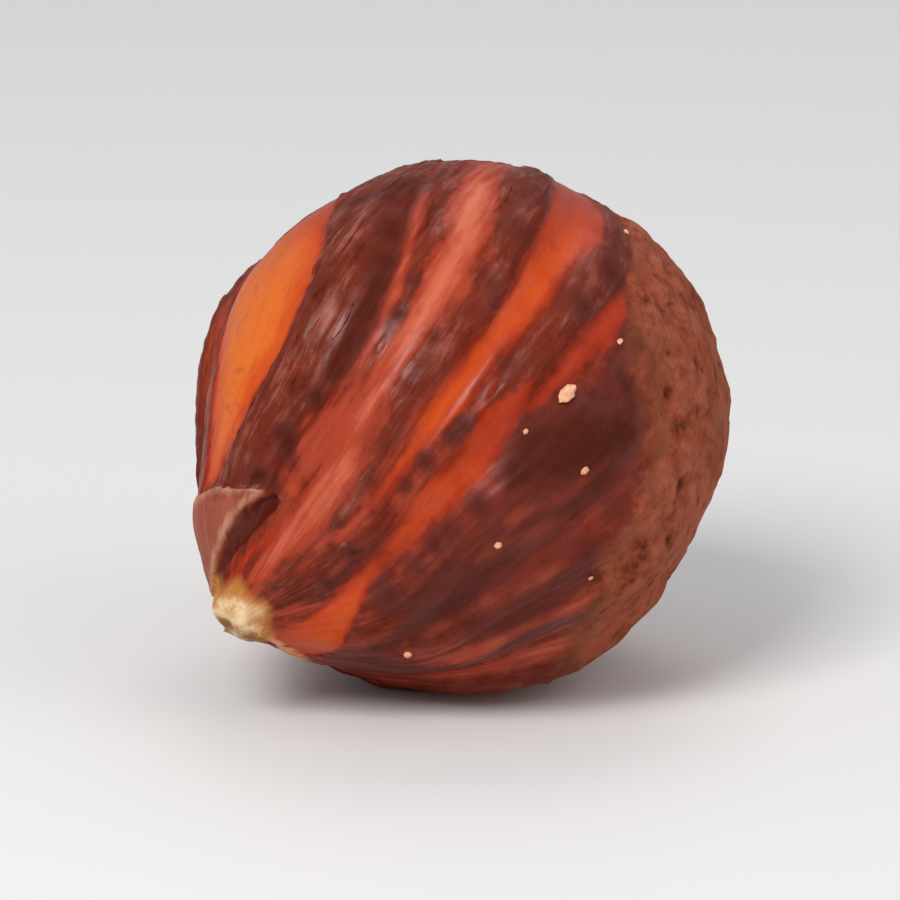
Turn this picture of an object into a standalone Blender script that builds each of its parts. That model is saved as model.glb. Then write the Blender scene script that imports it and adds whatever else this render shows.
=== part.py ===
"""A shelled hazelnut: one whole kernel in its brown skin, lying on its side.

The kernel is a ball drawn out to a blunt point. Its surface is worked out as a distance from the
middle of the ball in every direction, and each feature of the skin adds to or takes from it.
"""

import cmath
import math
import random

import bmesh
import bpy
from mathutils import Matrix, Vector, noise

MM = 0.001

# Form of the kernel
BODY_RADIUS = 7.2 * MM
APEX_REACH = 9.35 * MM  # where the straight flanks of the pointed end would meet
POINT_ROUNDING = 3.0
NUB_HEIGHT = 0.18 * MM  # tip of the seed root, a low pale nub on the point
NUB_SPREAD = 5.2
NUB_PIT = 0.12 * MM
NUB_PIT_SPREAD = 2.2
WAIST = 0.10 * MM  # three-sided swelling round the girth
WAIST_TURN = 20.0
ROUGHNESS = 0.07 * MM
ROUGHNESS_SIZE = 2.4 * MM

# Resting pose: the pointed end leans down towards -X and stays clear of the surface
TIP_LEAN = 26.4
REST_HEIGHT = 6.93 * MM

# The ribs run on a fan of lines, each named by its angle in degrees. The lines meet at the point and
# at the base pole, which isn't opposite the point, and near the point they are combed apart.
BASE_POLE_LATITUDE = 150.0
BASE_POLE_ANGLE = 60.0
COMB_MIDDLE = -50.0
COMB_STRENGTH = 0.95
COMB_REACH = 34.0
COMB_FADE = 7.0

# Mesh: its rings crowd together at both ends, and more so at the point
SEGMENTS = 124
RINGS = 47
POINT_CROWDING = 0.25
END_CROWDING = 0.30

# Broad swells and flats: latitude from the point, angle round it, spread in degrees, height
SWELLS = (
    (88.0, 12.0, 26.0, -0.34 * MM),
    (116.0, -26.0, 20.0, 0.26 * MM),
    (104.0, -136.0, 24.0, -0.28 * MM),
    (25.0, 48.0, 9.0, 0.16 * MM),
    (50.0, 62.0, 16.0, -0.24 * MM),
    (70.0, 150.0, 26.0, -0.30 * MM),
    (120.0, 95.0, 24.0, 0.22 * MM),
    (90.0, -65.0, 22.0, 0.12 * MM),
)

# Hollows and tongues of skin round the point: latitude, angle, half length, half width, height
POINT_FEATURES = (
    (20.0, -10.0, 9.0, 3.6, -0.34 * MM),
    (19.0, 44.0, 6.5, 6.0, 0.24 * MM),
    (19.0, -122.0, 8.0, 5.0, 0.24 * MM),
    (15.0, -82.0, 7.0, 2.4, -0.16 * MM),
    (22.0, 160.0, 10.0, 3.4, -0.22 * MM),
    (24.0, 100.0, 9.0, 6.0, 0.14 * MM),
)

# Ribs and furrows that run from the point towards the base pole: the line that each is on, where it
# starts and ends along the line, half width in degrees, height. Those on the seen side are set by
# hand.
SEEN_RIBS = (
    (34.0, 30.0, 110.0, 5.0, -0.20 * MM),
    (9.0, 40.0, 104.0, 14.0, 0.10 * MM),
    (-17.0, 32.0, 106.0, 5.2, 0.25 * MM),
    (-26.5, 28.0, 104.0, 4.0, -0.30 * MM),
    (-33.5, 40.0, 96.0, 3.2, 0.08 * MM),
    (-44.0, 36.0, 118.0, 4.2, 0.16 * MM),
    (-50.8, 44.0, 124.0, 3.6, 0.16 * MM),
    (-58.5, 38.0, 130.0, 4.4, -0.20 * MM),
    (-65.5, 54.0, 114.0, 3.6, 0.26 * MM),
    (-72.5, 80.0, 104.0, 3.4, -0.16 * MM),
    (-70.5, 18.0, 70.0, 4.4, -0.24 * MM),
    (-82.0, 40.0, 94.0, 6.0, 0.20 * MM),
    (-92.0, 32.0, 84.0, 3.8, -0.18 * MM),
    (-100.5, 34.0, 78.0, 4.0, 0.20 * MM),
    (-106.0, 36.0, 68.0, 3.2, -0.14 * MM),
    (-111.5, 34.0, 80.0, 4.0, 0.18 * MM),
    (-121.0, 32.0, 88.0, 4.4, -0.18 * MM),
)
RIB_RISE = (14.0, 10.0)  # how far before and after its start a rib rises
RIB_FALL = (10.0, 16.0)
HIDDEN_FROM = 44.0
HIDDEN_TO = 232.0
HIDDEN_STEP = (7.7, 13.2)
HIDDEN_START = (28.0, 46.0)
HIDDEN_END = (92.0, 128.0)
HIDDEN_WIDTH = (3.8, 6.4)
HIDDEN_HEIGHT = (0.12 * MM, 0.24 * MM)
HIDDEN_SEED = 7

# Corky outer skin left over the base: middle of the patch, reach and raggedness in degrees
CORK_LATITUDE = 130.0
CORK_ANGLE = -140.0
CORK_REACH = 63.0
CORK_RAGGED = ((3.1, 9.0), (8.3, 4.5))  # how often the edge wanders over the ball, and how far
CORK_EDGE = 5.5
CORK_THICKNESS = 0.13 * MM
CORK_LUMP = 0.14 * MM
CORK_LUMP_SIZE = 1.1 * MM

SKIN_COLOUR = (0.30, 0.055, 0.018, 1.0)
SKIN_ROUGHNESS = 0.5


def clear_scene():
    """Remove what the scene starts with."""
    for obj in list(bpy.data.objects):
        bpy.data.objects.remove(obj)


def direction(latitude, angle):
    """Unit vector at a latitude from the point and an angle round it, both in degrees."""
    down, round_ = math.radians(latitude), math.radians(angle)
    return Vector((math.sin(down) * math.cos(round_), math.sin(down) * math.sin(round_), math.cos(down)))


def smooth_step(low, high, value):
    """0 below low, 1 above high and a smooth rise between them."""
    share = min(1.0, max(0.0, (value - low) / (high - low)))
    return share * share * (3 - 2 * share)


def turn_between(first, second):
    """The shorter turn from one angle to another, in degrees."""
    return (first - second + 180.0) % 360.0 - 180.0


def flattened(latitude, angle):
    """A place on the ball as a complex number, with the ball laid out flat round the point."""
    return cmath.rect(math.tan(math.radians(latitude) / 2), math.radians(angle))


def fan_to_ball(along, line):
    """Latitude and angle of a place on the fan: along is 0 at the point and 180 at the base pole."""
    if along > 179.99:
        return BASE_POLE_LATITUDE, BASE_POLE_ANGLE
    turn = turn_between(line, COMB_MIDDLE)
    comb = COMB_STRENGTH / (1 + math.exp((along - COMB_REACH) / COMB_FADE))
    around = COMB_MIDDLE + turn + math.degrees(comb * math.sin(math.radians(turn)))
    fanned = flattened(along, around)
    flat = fanned / (1 + fanned / flattened(BASE_POLE_LATITUDE, BASE_POLE_ANGLE))
    return math.degrees(2 * math.atan(abs(flat))), math.degrees(cmath.phase(flat))


def hidden_ribs():
    """Ribs and furrows by turns over the side that the photograph doesn't show."""
    draw = random.Random(HIDDEN_SEED)
    ribs = []
    angle, sign = HIDDEN_FROM, 1
    while angle < HIDDEN_TO:
        start, end = draw.uniform(*HIDDEN_START), draw.uniform(*HIDDEN_END)
        ribs.append((angle, start, end, draw.uniform(*HIDDEN_WIDTH), sign * draw.uniform(*HIDDEN_HEIGHT)))
        angle += draw.uniform(*HIDDEN_STEP)
        sign = -sign
    return tuple(ribs)


def body_reach(latitude):
    """The ball, and beyond it the straight flanks that touch the ball and meet in a rounded point."""
    touch = math.degrees(math.acos(BODY_RADIUS / APEX_REACH))
    from_point = math.hypot(latitude, POINT_ROUNDING)
    return BODY_RADIUS / math.cos(math.radians(max(0.0, touch - from_point)))


def nub_height(latitude):
    """The low nub on the point, with a shallow pit in its end."""
    rise = NUB_HEIGHT * math.exp(-((latitude / NUB_SPREAD) ** 4))
    return rise - NUB_PIT * math.exp(-((latitude / NUB_PIT_SPREAD) ** 2))


def swell_height(here):
    """Broad swells and flats, which make the form uneven."""
    height = 0.0
    for latitude, angle, spread, top in SWELLS:
        away = math.degrees(here.angle(direction(latitude, angle)))
        height += top * math.exp(-((away / spread) ** 2))
    return height


def point_feature_height(latitude, angle):
    """Hollows and tongues of skin near the point, each an oval longer along the ribs."""
    height = 0.0
    for middle_latitude, middle_angle, half_length, half_width, top in POINT_FEATURES:
        along = (latitude - middle_latitude) / half_length
        across = turn_between(angle, middle_angle) * math.sin(math.radians(latitude)) / half_width
        height += top * math.exp(-(along**2) - across**2)
    return height


def rib_height(along, line, ribs):
    """Ribs and furrows along the fan of lines from the point to the base pole."""
    height = 0.0
    for rib_line, start, end, half_width, top in ribs:
        rise = smooth_step(start - RIB_RISE[0], start + RIB_RISE[1], along)
        fall = smooth_step(end - RIB_FALL[0], end + RIB_FALL[1], along)
        across = turn_between(line, rib_line) / half_width
        height += top * rise * (1 - fall) * math.exp(-(across**2))
    return height


def cork_height(here):
    """The corky skin stands a little proud over the base, with a ragged edge and a lumpy face."""
    away = math.degrees(here.angle(direction(CORK_LATITUDE, CORK_ANGLE)))
    edge = CORK_REACH
    for often, far in CORK_RAGGED:
        edge += far * noise.noise(here * often)
    cover = 1 - smooth_step(edge - CORK_EDGE, edge + CORK_EDGE, away)
    lumps = noise.noise(here * (BODY_RADIUS / CORK_LUMP_SIZE))
    return cover * (CORK_THICKNESS + CORK_LUMP * lumps)


def skin_point(along, line, ribs):
    """The place on the skin at one place of the fan."""
    latitude, angle = fan_to_ball(along, line)
    here = direction(latitude, angle)
    reach = body_reach(latitude) + nub_height(latitude) + swell_height(here)
    reach += WAIST * math.sin(math.radians(latitude)) ** 2 * math.cos(math.radians(3 * (angle - WAIST_TURN)))
    reach += point_feature_height(latitude, angle) + rib_height(along, line, ribs) + cork_height(here)
    reach += ROUGHNESS * noise.noise(here * (BODY_RADIUS / ROUGHNESS_SIZE))
    return here * reach


def kernel_mesh():
    """The kernel with its point up: a ball of quads whose edges follow the fan of lines."""
    bm = bmesh.new()
    bmesh.ops.create_uvsphere(bm, u_segments=SEGMENTS, v_segments=RINGS, radius=1.0)
    ribs = SEEN_RIBS + hidden_ribs()
    for vertex in bm.verts:
        even = math.acos(max(-1.0, min(1.0, vertex.co.z)))
        along = even - POINT_CROWDING * math.sin(even) - END_CROWDING / 2 * math.sin(2 * even)
        line = math.atan2(vertex.co.y, vertex.co.x)
        vertex.co = skin_point(math.degrees(along), math.degrees(line), ribs)
    return bm


def lay_down(bm):
    """Turn the kernel to its resting pose, press the flat spot and centre its box on the origin."""
    turn = Matrix.Rotation(math.radians(-(90.0 + TIP_LEAN)), 4, "Y")
    bmesh.ops.transform(bm, matrix=turn, verts=bm.verts)
    for vertex in bm.verts:
        vertex.co.z = max(vertex.co.z + REST_HEIGHT, 0.0)
    for axis in (0, 1):
        places = [vertex.co[axis] for vertex in bm.verts]
        middle = (min(places) + max(places)) / 2
        for vertex in bm.verts:
            vertex.co[axis] -= middle


def skin_material():
    """Red-brown skin."""
    material = bpy.data.materials.new("hazelnut_skin")
    material.use_nodes = True
    shader = material.node_tree.nodes["Principled BSDF"]
    shader.inputs["Base Color"].default_value = SKIN_COLOUR
    shader.inputs["Roughness"].default_value = SKIN_ROUGHNESS
    shader.inputs["Metallic"].default_value = 0.0
    return material


def build_kernel():
    """The whole kernel, skin and all, as one solid."""
    bm = kernel_mesh()
    lay_down(bm)
    mesh = bpy.data.meshes.new("kernel")
    bm.to_mesh(mesh)
    bm.free()
    mesh.shade_smooth()
    mesh.materials.append(skin_material())
    kernel = bpy.data.objects.new("kernel", mesh)
    bpy.context.scene.collection.objects.link(kernel)
    return kernel


clear_scene()
build_kernel()
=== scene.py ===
"""Looks of a shelled hazelnut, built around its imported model.

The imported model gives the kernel's form. This script gives it a finer skin, with the stripes where the
outer skin is gone, the dark strips where it is left, their fibres, the corky patch, the pale point, loose
flakes and crumbs. It also sets the stage.

A place on the skin is named by two angles on the fan of lines that the model's ribs follow: along is 0
at the point and 180 at the base pole, and line says which line of the fan it is on. Lengths in the
tables are in millimetres and angles in degrees.
"""

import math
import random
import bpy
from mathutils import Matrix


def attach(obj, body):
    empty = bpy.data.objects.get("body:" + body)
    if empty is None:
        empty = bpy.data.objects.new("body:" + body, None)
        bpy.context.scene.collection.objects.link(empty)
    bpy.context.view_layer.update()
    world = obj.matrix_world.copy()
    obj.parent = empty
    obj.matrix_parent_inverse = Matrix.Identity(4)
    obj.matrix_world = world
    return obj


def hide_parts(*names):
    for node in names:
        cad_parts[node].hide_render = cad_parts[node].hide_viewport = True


bl_info = {
    "name": "Hazelnut",
    "version": (1, 0, 0),
    "blender": (4, 5, 0),
    "location": "3D View > Sidebar > Hazelnut",
    "description": "Dresses the packed hazelnut kernel and sets a plain stage",
    "category": "Object",
}

import bpy
import numpy as np
from bpy.props import FloatProperty, FloatVectorProperty, IntProperty, PointerProperty
from mathutils import Vector, noise
from mathutils.bvhtree import BVHTree
from mathutils.kdtree import KDTree

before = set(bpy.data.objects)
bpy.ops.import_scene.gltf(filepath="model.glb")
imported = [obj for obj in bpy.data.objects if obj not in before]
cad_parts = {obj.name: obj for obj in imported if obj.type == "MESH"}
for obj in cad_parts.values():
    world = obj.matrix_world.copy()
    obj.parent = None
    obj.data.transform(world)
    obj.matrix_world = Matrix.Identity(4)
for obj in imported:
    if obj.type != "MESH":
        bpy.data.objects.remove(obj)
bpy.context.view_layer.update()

MM = 0.001

# Where the kernel lies: the middle and radius of its ball, and its point's lean down towards -X
BALL_MIDDLE = np.array((0.430, 0.138, 6.93))
BALL_RADIUS = 7.2
TIP_LEAN = math.radians(26.4)
AXIS = np.array((-math.cos(TIP_LEAN), 0.0, -math.sin(TIP_LEAN)))
TOP = np.array((-math.sin(TIP_LEAN), 0.0, math.cos(TIP_LEAN)))
SIDE = np.array((0.0, 1.0, 0.0))

# The fan of lines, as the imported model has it
BASE_POLE_LATITUDE = math.radians(150.0)
BASE_POLE_ANGLE = math.radians(60)
BASE_POLE = math.tan(BASE_POLE_LATITUDE / 2) * complex(math.cos(BASE_POLE_ANGLE), math.sin(BASE_POLE_ANGLE))
COMB_MIDDLE = -50.0
COMB_STRENGTH = 0.95
COMB_REACH = 34.0
COMB_FADE = 7.0

# The fan's two ends as (along, line), a hair inside them
POINT_END = (0.01, 0.0)
BASE_END = (179.9, 0.0)

# Stripes where the outer skin is gone: how orange each is, and rows of (along, left line, right line)
BRIGHT_STRIPES = (
    (1.0, ((26, 3, -7), (36, 9.5, -10.8), (46, 16, -9.8), (56, 22, -11.4), (68, 29, -11), (80, 33, -8.8),
           (92, 30, -3.6), (103, 26, 2), (112, 22, 7), (120, 19, 11), (128, 17, 15))),
    (0.66, ((35, -57, -58.2), (42, -56, -58.8), (49, -55, -59.4), (58, -54.2, -60.2), (64, -53.6, -61),
            (72, -54, -61), (79, -54.2, -60.8), (83, -54.4, -61.6), (89, -54.2, -62.6), (95, -53.8, -62.6),
            (104, -53, -63.4), (112, -52.4, -66), (124, -51, -66.5), (134, -50, -64), (143, -51, -60),
            (151, -53, -56))),
    (0.55, ((6, -86, -104), (10, -79, -113), (14, -73, -119), (17, -70.4, -98), (19, -69, -86),
            (22, -67.6, -77), (25, -66.4, -71.6), (29, -65, -69.2), (32, -64.4, -69.4), (37, -64.4, -71),
            (45, -65, -73.4), (57, -65.4, -73.6), (63, -64.4, -72.6), (69, -62.8, -70.8), (73, -63.6, -68.6),
            (76, -65.6, -67))),
    (0.12, ((70, -70.2, -71.4), (76, -69.6, -72.4), (83, -69.4, -73.8), (90, -70, -75.2), (97, -71.4, -76),
            (103, -73, -75))),
    (0.05, ((7, -19, -30), (9, -23, -31), (12, -29.5, -36), (15, -33.5, -39), (19, -37.5, -40.5),
            (23, -39, -40))),
)

# Where along a bright stripe it is most orange, as a share of its length, and how far its ends cool
STRIPE_WARMEST = 0.30
STRIPE_END_COOLING = 0.85

# Rosy streaks of thinner skin, as rows of (along, left line, right line)
ROSE_STREAKS = (
    ((8, -38.5, -47), (18, -41, -48.5), (26, -42, -50.5), (33, -42.6, -50.4), (39, -42.4, -49.4),
     (46, -40.6, -46.6), (52, -40.2, -45), (60, -39.2, -45), (70, -39, -45.6), (79, -38.2, -46.2),
     (87, -37.2, -46.6), (97, -35, -45.2), (105, -32.4, -43.2), (116, -30.6, -39.7), (126, -30, -37),
     (136, -31, -34.5), (143, -32, -33)),
    ((54, -34.4, -36), (62, -34, -36.4), (70, -33.2, -36), (81, -30.8, -33.6), (88, -28.6, -31.8),
     (96, -25.8, -29), (104, -23.2, -26), (108, -22.6, -24)),
    ((30, -91, -93.5), (45, -95.4, -97.8), (53, -97.2, -99.6), (60, -98.8, -100)),
    ((46, -84.6, -86), (52, -86, -88.6), (58, -88.6, -91), (64, -91.6, -92.4)),
    ((55, -83.2, -84.6), (62, -85.2, -87), (68, -86.4, -88), (74, -87.4, -88.4)),
    ((33, -106, -108), (44, -108, -111), (55, -109, -111.4), (62, -110, -111)),
    ((22, -53, -54.4), (30, -55.8, -57.6), (38, -56.4, -58), (46, -55.6, -56.6)),
)

# Strips of dark outer skin that are left on, as rows of (along, left line, right line)
DARK_STRIPS = (
    ((22, -8, -22), (28, -8.9, -25.5), (36, -10.9, -27.5), (48, -9.7, -29), (56, -11.1, -30.4),
     (62, -11, -31.4), (68, -10.6, -31), (75, -9.6, -30.2), (80, -8.4, -28.8), (92, -3.3, -25),
     (104, 4, -22.6), (112, 7, -21), (122, 3, -18), (132, -2, -14), (141, -6, -10)),
    ((62, -37.2, -38.6), (70, -36.8, -38.8), (78, -35.2, -37.8), (87, -32.6, -36.6), (97, -29.4, -34.2),
     (106, -26.4, -31), (114, -24, -28), (122, -23, -27), (134, -24, -25.6)),
    ((36, -51.4, -53.4), (44, -50, -54), (53, -48, -54.2), (57, -45.8, -54), (62, -45.2, -53.6),
     (69, -45.4, -53.8), (78, -46.8, -54.2), (84, -47.2, -54), (91, -47.2, -53.8), (97, -45.8, -53.4),
     (106, -43.4, -53), (113, -40.6, -52.4), (120, -39.5, -51), (130, -40, -48), (139, -42, -46),
     (149, -43.5, -44.5)),
    ((66, -63.4, -65), (71, -62.2, -66.6), (78, -61.4, -68.6), (85, -62.2, -69.4), (95, -62.8, -70.8),
     (105, -64, -72.6), (115, -67, -74.5), (126, -69, -75), (136, -71, -73.5)),
    ((13, -49, -51), (20, -50.6, -52.8), (28, -52.4, -54.8), (36, -51.8, -53.2)),
    ((13, -66.6, -69), (18, -63.6, -67), (24, -61.4, -64.2), (31, -60, -62.6), (38, -60, -61.6)),
    ((10, -48, -51), (13, -54, -58), (20, -57, -59.4), (27, -57.6, -58.8)),
)

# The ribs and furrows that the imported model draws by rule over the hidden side, and the tones of the
# stripes on them
HIDDEN_FROM = 44.0
HIDDEN_TO = 232.0
HIDDEN_STEP = (7.7, 13.2)
HIDDEN_START = (28.0, 46.0)
HIDDEN_END = (92.0, 128.0)
HIDDEN_WIDTH = (3.8, 6.4)
HIDDEN_HEIGHT = (0.12, 0.24)
HIDDEN_SEED = 7
HIDDEN_TONE_SEED = 23
HIDDEN_LEAN = (-2.0, 2.0)
HIDDEN_SWELL = (0.65, 1.1)
HIDDEN_BRIGHT_SHARE = 0.62
HIDDEN_WARMTH = (0.15, 0.85)

# Corky patch over the base: its middle, its reach and how often and how far its edge wanders as in the
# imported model, and how it is widened round the base pole
CORK_LATITUDE = math.radians(130.0)
CORK_ANGLE = math.radians(-140.0)
CORK_REACH = 63.0
CORK_RAGGED = ((3.1, 9.0), (8.3, 4.5))
CORK_ROUND_POLE = 2.4
CORK_POLE_RAGGED = 0.06
CORK_BLEND = 2.5

# The patch's edge on the seen side as (line, along), and between which lines and from where it holds
CORK_SEEN_EDGE = (
    (-150, 62), (-128, 58), (-116, 60), (-108, 63.5), (-102, 67), (-98.7, 74), (-95, 80), (-88, 86),
    (-83, 90), (-78, 93), (-76, 100), (-74, 107), (-73, 113), (-71.5, 124), (-66, 134), (-58, 142),
)
CORK_SEEN_LINES = (-150.0, -128.0, -64.0, -46.0)
CORK_SEEN_END = (130.0, 150.0)

# Pits in the cork: along, line, radius and depth of those that are seen, and the rule for the others
SEEN_PITS = (
    (92, -90.0, 0.24, 0.12), (84, -103.1, 0.24, 0.13), (104, -93.4, 0.18, 0.10), (78, -110.1, 0.20, 0.10),
    (87, -109.9, 0.14, 0.08), (99, -86.0, 0.12, 0.07), (96, -98.0, 0.10, 0.06), (70, -112.0, 0.13, 0.08),
)
PIT_COUNT = 70
PIT_RADIUS = (0.05, 0.12)
PIT_DEPTH = (0.03, 0.09)
PIT_SCATTER = 0.55
PIT_SLOPE = 2.6
PIT_INSIDE = 0.1
PIT_SEED = 31

# Darker areas, and lighter ones with an amount below 0: along, line, radius, amount. The darker ones are
# dark patches of the skin, a broad darkening over the lower side and painted shade in the groove beside
# the first dark strip; the lighter ones are lighter skin and painted highlights on the dark strips
TONE_AND_PAINTED_LIGHT_AREAS = (
    (66, -78, 0.70, 1.0), (73, -81.5, 0.90, 1.0), (80, -87, 0.70, 0.8), (60, -77.5, 0.40, 0.6),
    (52, -77, 0.35, 0.6), (45, -76, 0.35, 0.5), (86, -81, 0.60, 0.6), (72, -90, 0.5, 0.5),
    (94, -78, 0.5, 0.5), (31, -93, 0.30, 0.7), (40, -96, 0.40, 0.4), (32, -114, 1.2, 0.32),
    (24, -100, 0.5, 0.3), (62, -102, 0.8, 0.25), (27, -24.5, 0.35, 0.8), (37, -27, 0.40, 0.9),
    (48, -28, 0.40, 1.0),
    (56, -29.5, 0.45, 1.1), (63, -29.5, 0.45, 1.1), (70, -29, 0.45, 1.1), (77, -27.5, 0.45, 1.0),
    (84, -25.5, 0.45, 0.9), (92, -22, 0.50, 0.9), (101, -18, 0.6, 0.8), (110, -16, 0.8, 0.8),
    (72, -13.5, 0.35, 0.6), (104, -5, 0.5, 0.6), (60, -62.8, 0.28, 0.8), (50, -61.6, 0.28, 0.8),
    (57, -62.3, 0.25, 0.7), (74, -62.4, 0.30, 0.6), (44, -61, 0.24, 0.6), (92, -66.5, 0.5, 0.7),
    (104, -70, 0.6, 0.6), (27, -61.3, 0.22, 0.8), (19, -64.2, 0.20, 0.7), (29, -53.8, 0.20, 0.6),
    (28, -76, 0.36, 0.5), (36, -76, 0.32, 0.4), (41, -75.2, 0.24, 0.7), (34, -32, 0.3, 0.5),
    (26, -33, 0.25, 0.5), (80, -36.5, 0.25, 0.8), (72, -37.5, 0.25, 0.7), (90, -85, 0.4, 0.4),
    (85, -50.5, 0.4, 0.5), (100, -50, 0.5, 0.6), (112, -48, 0.6, 0.6),
    (20, -45, 0.7, -0.5), (38, -40, 0.8, -0.5), (46, -37, 0.7, -0.5), (50, -50, 0.4, -0.3),
    (110, -36, 0.8, -0.6), (84, -42, 0.6, -0.5), (38, -15, 0.40, -0.5), (46, -20, 0.40, -0.5),
    (53, -21, 0.38, -0.5), (58, -18, 0.40, -0.4), (64, -21.4, 0.34, -0.7), (69, -19.6, 0.34, -0.6),
    (76, -21, 0.38, -0.4), (83, -14, 0.42, -0.6), (89, -16, 0.45, -0.7), (98, -13, 0.50, -0.7),
    (57, -47, 0.30, -0.6), (62, -45.6, 0.32, -0.7), (68, -46.6, 0.32, -0.6), (74, -47, 0.34, -0.6),
    (82, -49, 0.32, -0.4), (92, -48, 0.34, -0.4), (60, -88, 1.7, 0.32), (46, -92, 1.6, 0.32),
    (34, -88, 1.1, 0.30), (50, -106, 1.6, 0.32), (24, -112, 1.2, 0.30),
    (28, -38.3, 0.14, -1.2), (24, -35.4, 0.12, -1.0), (46, -97, 0.6, -0.12), (56, -95, 0.5, -0.12),
    (44, -110, 0.7, -0.12), (90, 120, 1.6, 0.6), (70, 170, 1.4, 0.7), (50, 140, 1.0, -0.5),
    (100, 70, 1.2, 0.5), (76, 200, 1.2, -0.5), (71, -97.4, 0.5, 0.40), (78, -96.5, 0.4, 0.35),
    (64, -99.5, 0.4, 0.30),
)

# Skin torn loose beside the point, the hollow it left and the ledge under the point, each as (along, left
# line, right line), and the lines over which the torn skin merges with the rest
FLAP = ((7, 24, 4), (10, 38, -6), (14, 50, -15.5), (17, 54, -19), (19.5, 52, -22), (21.5, 45, -25.5),
        (23, 32, -27.5), (24.4, 20, -27), (25.4, 14, 6))
FLAP_MERGES = (16.0, 42.0)
HOLLOW = ((5, 6, -10), (8, 1, -13), (12, -13.5, -25), (16, -19.5, -31), (18.5, -22.5, -33), (21.5, -27, -37),
          (25, -33.5, -38))
HOLLOW_DEPTH = 0.22
LEDGE = ((5, -82, -94), (10, -108, -117), (17, -120, -126), (24, -134, -137))
LEDGE_HEIGHT = 0.08

# The pale point: its reach, height and lumps, its lobes and the dimple in its middle
PALE_REACH = 0.90
PALE_WANDER = 0.26
PALE_HEIGHT = 0.07
TIP_LUMP_HEIGHT = 0.08
TIP_LOBES_TURN = -40.0
TIP_LOBE_HEIGHT = 0.07
TIP_LOBE_REACH = 0.62
TIP_LOBE_WIDTH = 0.30
TIP_DIMPLE_DEPTH = 0.05
TIP_DIMPLE_RADIUS = 0.24

# Loose flakes: along, line, length, width, turn from the line, lift of the free end
SEEN_FLAKES = (
    (40, -11.5, 1.2, 0.22, 4, 0.03), (66, -24.5, 1.2, 0.20, -4, 0.03), (107, -43.5, 1.2, 0.24, -4, 0.035),
    (90, -68.6, 1.0, 0.20, -5, 0.03), (112, -12, 1.2, 0.24, 6, 0.03),
)
FLAKE_THICKNESS = 0.016
FLAKE_BUCKLE = 0.02
FLAKE_CLEARANCE = 0.9

# Flakes on the hidden side, by rule
HIDDEN_FLAKES = 9
HIDDEN_FLAKE_ALONG = (34, 124)
HIDDEN_FLAKE_LINE = (40, 236)
HIDDEN_FLAKE_LENGTH = (0.9, 1.6)
HIDDEN_FLAKE_WIDTH = (0.14, 0.22)
HIDDEN_FLAKE_TURN = 4
HIDDEN_FLAKE_LIFT = (0.006, 0.014)
FLAKE_SEED = 12

# Crumbs stuck to the skin: along, line, width, length
CRUMBS = (
    (77, -74.4, 0.34, 0.60), (92, -76.9, 0.14, 0.20), (70, -86.0, 0.18, 0.24), (51, -85.9, 0.17, 0.20),
    (30, -98.2, 0.18, 0.22), (67, -73.3, 0.12, 0.15), (63, -106.4, 0.11, 0.14), (122, -71.5, 0.14, 0.22),
    (88, 150, 0.20, 0.26), (64, 112, 0.14, 0.18), (104, -168, 0.15, 0.17),
)
CRUMB_SEED = 5

# The stage, in metres and degrees: each lamp's turn from the camera, its elevation and its size
FLOOR_LEVEL = -0.00002
VIEW_TARGET = Vector((0.0, 0.0, 0.0064))
LAMP_DISTANCE = 0.26
KEY_LAMP = (-30.0, 44.0, 0.11)
FILL_LAMP = (62.0, 32.0, 0.20)
RIM_LAMP = (170.0, 60.0, 0.14)

# Depth of the finest relief, in metres
SKIN_BUMP = 0.00013
CRUMB_BUMP = 0.00006

# The relief in mm that its measure on the mesh gives as 1, and the height in mm over which it fades in
# above the flat spot
RELIEF_UNIT = 1 / 6
FLAT_SPOT_FADE = 0.25

# What the skin's material reads from the mesh
SHADED_BY = ("bright", "warmth", "rose", "dark", "cork", "shade", "pit", "pale", "above", "tip", "flap",
             "loose", "hollow", "ledge", "relief")


def tone(code):
    """A colour given as six hex digits of sRGB, as linear red, green and blue."""
    parts = [int(code[i:i + 2], 16) / 255 for i in (0, 2, 4)]
    return tuple(part / 12.92 if part <= 0.04045 else ((part + 0.055) / 1.055) ** 2.4 for part in parts)


def colour_property(name, description, code):
    """A colour that a user can change."""
    return FloatVectorProperty(name=name, description=description, default=tone(code), subtype="COLOR",
                               size=3, min=0.0, max=1.0)


def length_property(name, description, millimetres):
    """A length that a user can change, kept in metres."""
    return FloatProperty(name=name, description=description, default=millimetres * MM, unit="LENGTH",
                         subtype="DISTANCE", precision=6)


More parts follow.
